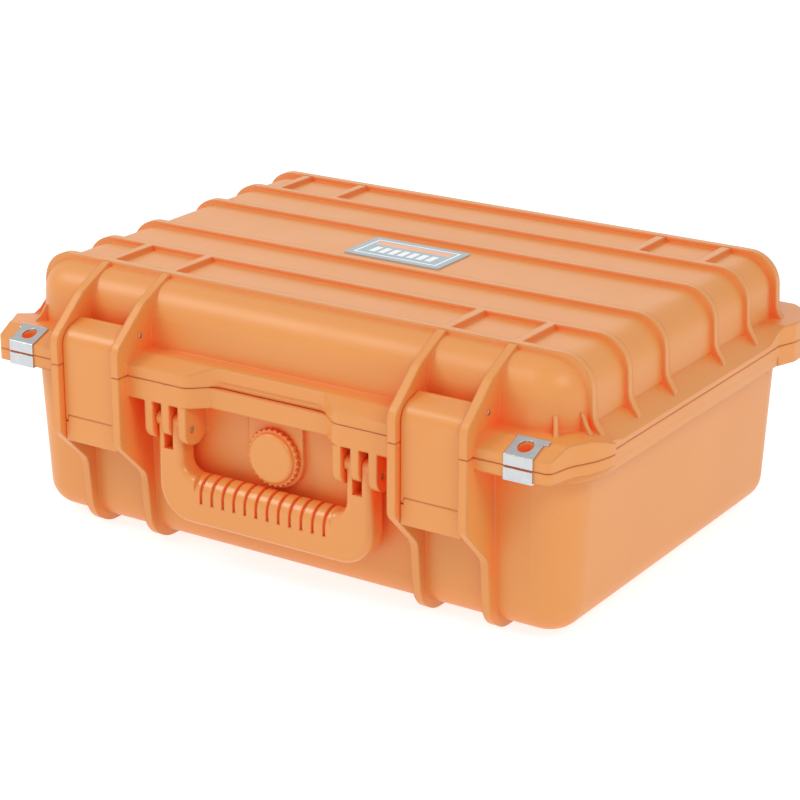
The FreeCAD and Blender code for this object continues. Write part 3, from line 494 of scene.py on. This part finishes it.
def lid_foam(material):
    """Egg-crate foam glued into the lid, its peaks pointing down."""
    corner = 24 * MM
    top_round = 14 * MM
    bottom_round = 5 * MM
    pitch = 32 * MM
    steps_per_wave = 10
    wave = 11 * MM
    least = 2 * MM
    foam = Foam("lid_foam", corner)

    def top(x, y, place):
        return foam.high.z - foam.edge_drop(place, top_round)

    def bottom(x, y, place):
        crest = 0.5 + 0.25 * (math.cos(math.tau * x / pitch) + math.cos(math.tau * y / pitch))
        height = foam.low.z + wave * (1 - crest) + foam.edge_drop(place, bottom_round)
        return min(height, top(x, y, place) - least)

    step = pitch / steps_per_wave
    xs = even_lines(foam.low.x, foam.high.x, step)
    ys = even_lines(foam.low.y, foam.high.y, step)
    foam.build("lid_foam_eggcrate", "lid", xs, ys, (bottom, top), material)


def scored_lines(low, high, start, pitch, cut):
    """Grid lines for foam scored every pitch from start: in each score, beside it and between two of them."""
    border = 1.5 * MM
    flank = 1.6 * MM
    lines = {low, low + border, high - border, high}
    first = math.ceil((low - start) / pitch)
    last = math.floor((high - start) / pitch)
    for number in range(first, last + 1):
        for offset in (-flank, -cut, 0.0, cut, flank, pitch / 2):
            place = start + number * pitch + offset
            if low + border < place < high - border:
                lines.add(place)
    return sorted(lines)


def pocket_of(node):
    """The lowest and highest corner of a block's pocket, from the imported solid's vertices.

    Only the pocket's floor has vertices that are neither at the block's bottom nor at its top.
    """
    low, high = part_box(node)
    floor = [v.co for v in nodes[node].data.vertices if low.z + MM < v.co.z < high.z - MM]
    lowest = Vector([min(corner[axis] for corner in floor) for axis in range(3)])
    highest = Vector([max(corner[axis] for corner in floor) for axis in range(3)])
    return lowest, Vector((highest.x, highest.y, high.z))


def pluck_foam(material):
    """Foam scored into a grid of small columns, with the middle columns plucked out as a pocket."""
    corner = 20 * MM
    pitch = 15 * MM
    cut = 0.45 * MM
    cut_depth = 3.5 * MM
    column_round = 1.2 * MM
    edge_round = 3 * MM
    roughness = 0.35 * MM
    lumps_per_metre = 90
    torn = 1.6 * MM
    seed = 7.0
    foam = Foam("pluck_foam", corner)
    low, high = pocket_of("pluck_foam")
    depth = high.z - low.z

    def to_score(place, start):
        return abs((place - start + pitch / 2) % pitch - pitch / 2)

    def in_pocket(x, y):
        return low.x + cut / 2 < x < high.x - cut / 2 and low.y + cut / 2 < y < high.y - cut / 2

    def top(x, y, place):
        score = min(to_score(x, low.x), to_score(y, low.y))
        height = foam.high.z - roughness - foam.edge_drop(place, edge_round)
        height -= cut_depth * max(0.0, 1 - score / cut) + rolled(score, column_round) / 2
        if not in_pocket(x, y):
            return height + roughness * noise.noise((x * lumps_per_metre, y * lumps_per_metre, 0.0))
        column = (math.floor(x / pitch), math.floor(y / pitch), seed)
        return height - depth + cut_depth + torn * (noise.cell(column) - 1)

    def bottom(x, y, place):
        return foam.low.z + foam.edge_drop(place, edge_round)

    xs = scored_lines(foam.low.x, foam.high.x, low.x, pitch, cut)
    ys = scored_lines(foam.low.y, foam.high.y, low.y, pitch, cut)
    foam.build("pluck_foam_scored", "base", xs, ys, (bottom, top), material)


def base_foam(material):
    """The plain pad under the scored foam."""
    corner = 16 * MM
    edge_round = 4 * MM
    roughness = 0.35 * MM
    lumps_per_metre = 40
    step = 5 * MM
    foam = Foam("base_foam", corner)

    def top(x, y, place):
        height = foam.high.z - roughness - foam.edge_drop(place, edge_round)
        return height + roughness * noise.noise((x * lumps_per_metre, y * lumps_per_metre, 0.0))

    def bottom(x, y, place):
        return foam.low.z + foam.edge_drop(place, edge_round)

    xs = even_lines(foam.low.x, foam.high.x, step)
    ys = even_lines(foam.low.y, foam.high.y, step)
    foam.build("base_foam_pad", "base", xs, ys, (bottom, top), material)


# ---- stage ----


def aim(thing, target, roll=0.0):
    """Points a lamp or a camera at a place."""
    direction = target - thing.location
    turn = direction.to_track_quat("-Z", "Y").to_matrix() @ Matrix.Rotation(roll, 3, "Z")
    thing.rotation_euler = turn.to_euler()


def from_angles(target, azimuth, elevation, distance):
    """A place seen from the target at these angles in degrees; azimuth 0 is straight in front."""
    around = math.radians(azimuth)
    up = math.radians(elevation)
    outward = Vector((math.sin(around) * math.cos(up), -math.cos(around) * math.cos(up), math.sin(up)))
    return target + outward * distance


def soft_lamp(name, azimuth, elevation, distance, size, power):
    """A rectangular white lamp that points at the middle of the case."""
    target = Vector((0, 0, cad_box[1].z / 2))
    lamp = bpy.data.objects.new(name, bpy.data.lights.new(name, "AREA"))
    bpy.context.scene.collection.objects.link(lamp)
    lamp.location = from_angles(target, azimuth, elevation, distance)
    lamp.data.shape = "RECTANGLE"
    lamp.data.size, lamp.data.size_y = size
    lamp.data.energy = power
    aim(lamp, target)


def surroundings():
    """Surroundings that light the case softly and look plain white to the camera."""
    light = 0.74
    seen = 1.0
    world = bpy.data.worlds.new("studio")
    world.use_nodes = True
    tree = world.node_tree
    rays = tree.nodes.new("ShaderNodeLightPath")
    strength = tree.nodes.new("ShaderNodeMapRange")
    strength.inputs["To Min"].default_value = light
    strength.inputs["To Max"].default_value = seen
    tree.links.new(rays.outputs["Is Camera Ray"], strength.inputs["Value"])
    background = tree.nodes["Background"]
    background.inputs["Color"].default_value = (1, 1, 1, 1)
    tree.links.new(strength.outputs["Result"], background.inputs["Strength"])
    bpy.context.scene.world = world


def studio():
    """White floor, white surroundings and three soft lamps."""
    scene = bpy.context.scene
    surroundings()
    mesh = bpy.data.meshes.new("studio_floor")
    reach = 30
    corners = [(-reach, -reach, 0), (reach, -reach, 0), (reach, reach, 0), (-reach, reach, 0)]
    mesh.from_pydata(corners, [], [(0, 1, 2, 3)])
    floor = bpy.data.objects.new("studio_floor", mesh)
    scene.collection.objects.link(floor)
    dress(floor, floor_paint())
    soft_lamp("key", azimuth=-50, elevation=42, distance=1.9, size=(0.7, 0.7), power=9)
    soft_lamp("side", azimuth=62, elevation=42, distance=2.0, size=(0.6, 0.6), power=8)
    soft_lamp("back", azimuth=213, elevation=24, distance=2.2, size=(1.8, 0.9), power=3.5)
    scene.view_settings.view_transform = "Standard"
    scene.view_settings.look = "None"


def photo_camera():
    """A long lens from the front right, a little above, aimed close to the middle of the case."""
    off_middle = Vector((3.1, -8.5, -8.6)) * MM
    target = (cad_box[0] + cad_box[1]) / 2 + off_middle
    azimuth = 32.91
    elevation = 19.79
    distance = 1.5588
    roll = 0.2
    data = bpy.data.cameras.new("camera")
    data.sensor_width = 36
    data.lens = 109.35
    camera = bpy.data.objects.new("camera", data)
    bpy.context.scene.collection.objects.link(camera)
    camera.location = from_angles(target, azimuth, elevation, distance)
    aim(camera, target, math.radians(roll))
    bpy.context.scene.camera = camera


dress_cad()
grey_foam = foam_skin("grey_foam")
lid_foam(grey_foam)
pluck_foam(grey_foam)
base_foam(grey_foam)
studio()
photo_camera()
